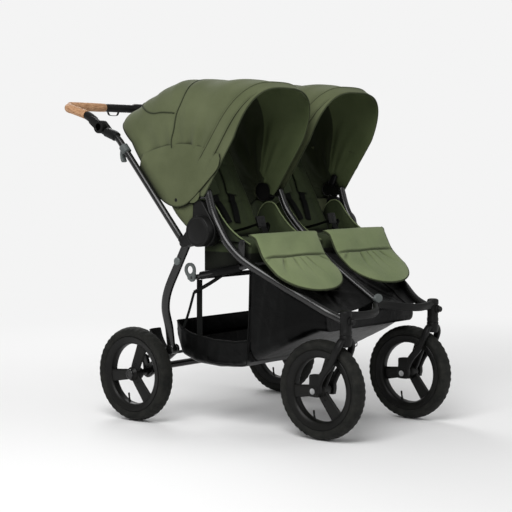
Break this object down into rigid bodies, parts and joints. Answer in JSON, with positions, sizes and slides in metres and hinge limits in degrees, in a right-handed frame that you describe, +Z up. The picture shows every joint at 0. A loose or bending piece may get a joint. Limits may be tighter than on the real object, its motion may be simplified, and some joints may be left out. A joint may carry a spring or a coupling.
{
  "type": "jogging stroller",
  "caption": "Side-by-side double jogging stroller with olive canopies, padded leg rests, a black folding tube frame, spoked wheels and a wood-look tilting handlebar",
  "frame": {"origin": "on the floor below the centre of the box round the whole stroller", "axes": "+Z up; the children face -Y, the handlebar is at +Y; +X is the children's left"},
  "size_m": [0.79, 1.1407, 1.0836],
  "materials": {
    "frame_paint": "semi-gloss black powder coat",
    "black_plastic": "fine moulded grain",
    "grey_plastic": "satin grey",
    "tyre_rubber": "dull black treaded rubber",
    "rim_plastic": "satin black",
    "steel": "brushed",
    "grip_wood": "matt cork-like grain",
    "olive_canvas": "dense plain weave",
    "pale_canvas": "padded plain weave",
    "dark_canvas": "padded plain weave",
    "black_canvas": "coated nylon"
  },
  "bodies": {
    "chassis": {"front_crossbar": "black_plastic", "spine_tube": "frame_paint", "seat_frame": "frame_paint", "basket": "black_canvas", "front_tube_right": "frame_paint", "hinge_housing_right": "black_plastic", "fold_pin_right": "steel", "seat_cushion_right": "dark_canvas", "footwell_right": "black_canvas", "canopy_right": "olive_canvas", "caster_head_right": "black_plastic", "front_tube_left": "frame_paint", "hinge_housing_left": "black_plastic", "fold_pin_left": "steel", "seat_cushion_left": "dark_canvas", "footwell_left": "black_canvas", "canopy_left": "olive_canvas", "caster_head_left": "black_plastic"},
    "handle_frame": {"hinge_cover_right": "black_plastic", "upper_tube_right": "frame_paint", "knuckle_right": "black_plastic", "hinge_cover_left": "black_plastic", "upper_tube_left": "frame_paint", "knuckle_left": "black_plastic"},
    "handlebar": {"handlebar_tube": "black_plastic", "centre_console": "black_plastic", "grip_right": "grip_wood", "grip_left": "grip_wood"},
    "rear_frame": {"rear_leg_right": "frame_paint", "catch_stud_right": "grey_plastic", "rear_leg_left": "frame_paint", "catch_stud_left": "grey_plastic"},
    "rear_axle": {"rear_axle": "frame_paint"},
    "brake": {"brake_pedal": "black_plastic"},
    "fold_lock": {"fold_lock_hook": "grey_plastic"},
    "rear_wheel_right": {"tyre_rear_right": "tyre_rubber", "rim_rear_right": "rim_plastic"},
    "caster_right": {"fork_right": "frame_paint", "front_axle_right": "steel"},
    "front_wheel_right": {"tyre_front_right": "tyre_rubber", "rim_front_right": "rim_plastic"},
    "swivel_lock_right": {"swivel_lock_right": "black_plastic"},
    "lever_right": {"fold_lever_right": "grey_plastic"},
    "back_right": {"backrest_right": "dark_canvas"},
    "leg_rest_right": {"leg_rest_right": "pale_canvas"},
    "hoop_right": {"canopy_hoop_right": "olive_canvas"},
    "rear_wheel_left": {"tyre_rear_left": "tyre_rubber", "rim_rear_left": "rim_plastic"},
    "caster_left": {"fork_left": "frame_paint", "front_axle_left": "steel"},
    "front_wheel_left": {"tyre_front_left": "tyre_rubber", "rim_front_left": "rim_plastic"},
    "swivel_lock_left": {"swivel_lock_left": "black_plastic"},
    "lever_left": {"fold_lever_left": "grey_plastic"},
    "back_left": {"backrest_left": "dark_canvas"},
    "leg_rest_left": {"leg_rest_left": "pale_canvas"},
    "hoop_left": {"canopy_hoop_left": "olive_canvas"}
  },
  "joints": [
    {"name": "main_fold", "type": "hinge", "parent": "chassis", "child": "handle_frame", "pos_m": [0, -0.05325, 0.613], "axis": [1, 0, 0], "range_deg": [0, 150]},
    {"name": "rear_leg_fold", "type": "hinge", "parent": "chassis", "child": "rear_frame", "pos_m": [0, -0.05325, 0.613], "axis": [1, 0, 0], "range_deg": [-48, 0]},
    {"name": "suspension", "type": "hinge", "parent": "rear_frame", "child": "rear_axle", "pos_m": [0, 0.10775, 0.235], "axis": [1, 0, 0], "range_deg": [0, 6], "stiffness_Nm_per_rad": 60, "springref_deg": -17.19},
    {"name": "handle_height", "type": "hinge", "parent": "handle_frame", "child": "handlebar", "pos_m": [0, 0.37475, 0.937], "axis": [1, 0, 0], "range_deg": [-30, 45]},
    {"name": "brake_press", "type": "hinge", "parent": "rear_axle", "child": "brake", "pos_m": [0, 0.24175, 0.196], "axis": [1, 0, 0], "range_deg": [-24, 0], "stiffness_Nm_per_rad": 0.8, "springref_deg": 11.46},
    {"name": "fold_lock_turn", "type": "hinge", "parent": "chassis", "child": "fold_lock", "pos_m": [0, 0.01075, 0.4665], "axis": [1, 0, 0], "range_deg": [0, 70]},
    {"name": "rear_wheel_spin_right", "type": "hinge", "parent": "rear_axle", "child": "rear_wheel_right", "pos_m": [-0.3645, 0.22875, 0.15], "axis": [1, 0, 0], "continuous": true},
    {"name": "caster_swivel_right", "type": "hinge", "parent": "chassis", "child": "caster_right", "pos_m": [-0.2315, -0.50525, 0.3175], "axis": [0, 0, 1], "continuous": true},
    {"name": "front_wheel_spin_right", "type": "hinge", "parent": "caster_right", "child": "front_wheel_right", "pos_m": [-0.2315, -0.41925, 0.15], "axis": [1, 0, 0], "continuous": true},
    {"name": "swivel_lock_pull_right", "type": "slide", "parent": "chassis", "child": "swivel_lock_right", "axis": [0, -1, 0], "range_m": [0, 0.005]},
    {"name": "lever_slide_right", "type": "slide", "parent": "handle_frame", "child": "lever_right", "axis": [0, 0.6618, 0.7497], "range_m": [0, 0.01], "stiffness_N_per_m": 200, "springref_m": -0.012},
    {"name": "back_recline_right", "type": "hinge", "parent": "chassis", "child": "back_right", "pos_m": [-0.1815, -0.01525, 0.588], "axis": [1, 0, 0], "range_deg": [-40, 0]},
    {"name": "leg_rest_lift_right", "type": "hinge", "parent": "chassis", "child": "leg_rest_right", "pos_m": [-0.1815, -0.19525, 0.58], "axis": [1, 0, 0], "range_deg": [-35, 0]},
    {"name": "hoop_turn_right", "type": "hinge", "parent": "chassis", "child": "hoop_right", "pos_m": [-0.18465, -0.01025, 0.73], "axis": [1, 0, 0], "range_deg": [-48, 0]},
    {"name": "rear_wheel_spin_left", "type": "hinge", "parent": "rear_axle", "child": "rear_wheel_left", "pos_m": [0.3645, 0.22875, 0.15], "axis": [1, 0, 0], "continuous": true},
    {"name": "caster_swivel_left", "type": "hinge", "parent": "chassis", "child": "caster_left", "pos_m": [0.2315, -0.50525, 0.3175], "axis": [0, 0, 1], "continuous": true},
    {"name": "front_wheel_spin_left", "type": "hinge", "parent": "caster_left", "child": "front_wheel_left", "pos_m": [0.2315, -0.41925, 0.15], "axis": [1, 0, 0], "continuous": true},
    {"name": "swivel_lock_pull_left", "type": "slide", "parent": "chassis", "child": "swivel_lock_left", "axis": [0, -1, 0], "range_m": [0, 0.005]},
    {"name": "lever_slide_left", "type": "slide", "parent": "handle_frame", "child": "lever_left", "axis": [0, 0.6618, 0.7497], "range_m": [0, 0.01], "stiffness_N_per_m": 200, "springref_m": -0.012},
    {"name": "back_recline_left", "type": "hinge", "parent": "chassis", "child": "back_left", "pos_m": [0.1815, -0.01525, 0.588], "axis": [1, 0, 0], "range_deg": [-40, 0]},
    {"name": "leg_rest_lift_left", "type": "hinge", "parent": "chassis", "child": "leg_rest_left", "pos_m": [0.1815, -0.19525, 0.58], "axis": [1, 0, 0], "range_deg": [-35, 0]},
    {"name": "hoop_turn_left", "type": "hinge", "parent": "chassis", "child": "hoop_left", "pos_m": [0.18465, -0.01025, 0.73], "axis": [1, 0, 0], "range_deg": [-48, 0]}
  ],
  "couplings": [
    {"joint": "rear_leg_fold", "follows": "main_fold", "ratio": -0.32}
  ]
}
